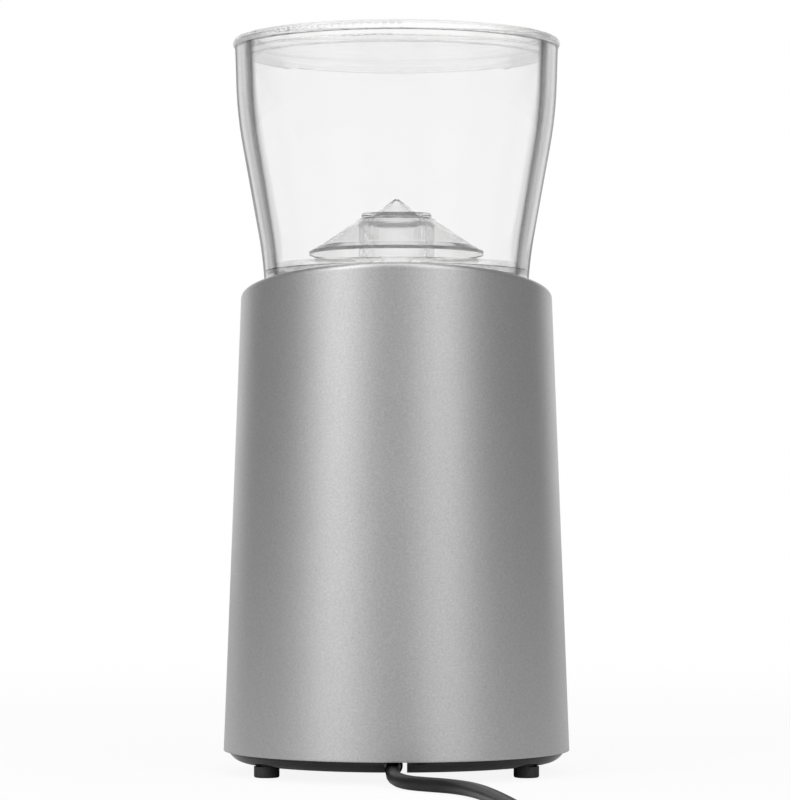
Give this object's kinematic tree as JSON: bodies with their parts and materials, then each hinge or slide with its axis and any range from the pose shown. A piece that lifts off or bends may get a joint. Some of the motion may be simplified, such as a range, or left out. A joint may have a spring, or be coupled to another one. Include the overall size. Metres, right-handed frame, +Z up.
{
  "type": "electric spice grinder",
  "caption": "Electric burr grinder with clear lidded hopper and finger guard on a tapered metallic body, slanted deck, black base, pull-out container, dial and mains lead.",
  "frame": {"origin": "centre of the plane that the feet stand on", "axes": "+Z up; the container, dial and button face -Y; the mains lead leaves at +Y"},
  "size_m": [0.124, 0.427, 0.2632],
  "materials": {
    "silver": "satin metallic",
    "black_gloss": "gloss",
    "rubber": "matte",
    "liner": "matte",
    "clear": "clear polished plastic",
    "frame": "matte",
    "motor": "satin",
    "steel": "ground",
    "nylon": "matte",
    "bronze": "turned",
    "trim": "satin",
    "parts": "matte",
    "board": "satin",
    "cord": "satin",
    "brass": "polished"
  },
  "bodies": {
    "base": {"housing_shell": "silver", "base_plate": "black_gloss", "foot_1": "rubber", "foot_2": "rubber", "foot_3": "rubber", "bay_liner": "liner", "drive_frame": "frame", "motor_can": "motor", "lower_bush": "bronze", "upper_bush": "bronze", "burr_housing": "frame", "grounds_spout": "frame", "dial_bezel": "trim", "dial_switch": "parts", "button_bezel": "trim", "start_switch": "parts", "control_board": "board", "base_screws": "steel", "motor_screws": "steel", "chamber_screws": "steel", "strain_relief": "cord", "cord_lead": "cord", "cord_coil": "cord", "plug_body": "cord", "plug_blade_left": "brass", "plug_blade_right": "brass"},
    "drawer": {"container": "clear", "container_lid": "clear"},
    "rotor": {"motor_shaft": "steel", "motor_pinion": "steel"},
    "mill": {"spindle": "steel", "spindle_gear": "nylon", "impeller": "frame", "cone_burr": "steel", "spindle_nut": "steel"},
    "carrier": {"burr_carrier": "frame", "ring_burr": "steel"},
    "adjuster": {"adjuster": "frame"},
    "hopper": {"hopper": "clear", "hopper_floor": "clear", "finger_guard": "clear"},
    "lid": {"hopper_lid": "clear"},
    "dial": {"dial": "trim", "dial_shaft": "trim"},
    "button": {"start_button": "trim"}
  },
  "joints": [
    {"name": "mill_spin", "type": "hinge", "parent": "base", "child": "mill", "pos_m": [0, 0, 0.1], "axis": [0, 0, 1], "continuous": true},
    {"name": "rotor_spin", "type": "hinge", "parent": "base", "child": "rotor", "pos_m": [0, 0.032, 0.1], "axis": [0, 0, 1], "continuous": true},
    {"name": "hopper_turn", "type": "hinge", "parent": "base", "child": "adjuster", "pos_m": [0, 0, 0.155], "axis": [0, 0, 1], "range_deg": [0, 90]},
    {"name": "carrier_rise", "type": "slide", "parent": "base", "child": "carrier", "axis": [0, 0, 1], "range_m": [0, 0.0018]},
    {"name": "hopper_lift", "type": "slide", "parent": "adjuster", "child": "hopper", "axis": [0, 0, 1], "range_m": [0, 0.12]},
    {"name": "lid_lift", "type": "slide", "parent": "hopper", "child": "lid", "axis": [0, 0, 1], "range_m": [0, 0.08]},
    {"name": "container_pull", "type": "slide", "parent": "base", "child": "drawer", "axis": [0, -1, 0], "range_m": [0, 0.09]},
    {"name": "dial_turn", "type": "hinge", "parent": "base", "child": "dial", "pos_m": [0, -0.057, 0.134], "axis": [0, -1, 0], "range_deg": [-150, 150]},
    {"name": "button_press", "type": "slide", "parent": "base", "child": "button", "axis": [0, 1, 0], "range_m": [0, 0.0014], "stiffness_N_per_m": 400, "springref_m": -0.001}
  ],
  "couplings": [
    {"joint": "rotor_spin", "follows": "mill_spin", "ratio": -4.3333},
    {"joint": "carrier_rise", "follows": "hopper_turn", "m_per_rad": 0.001145}
  ]
}
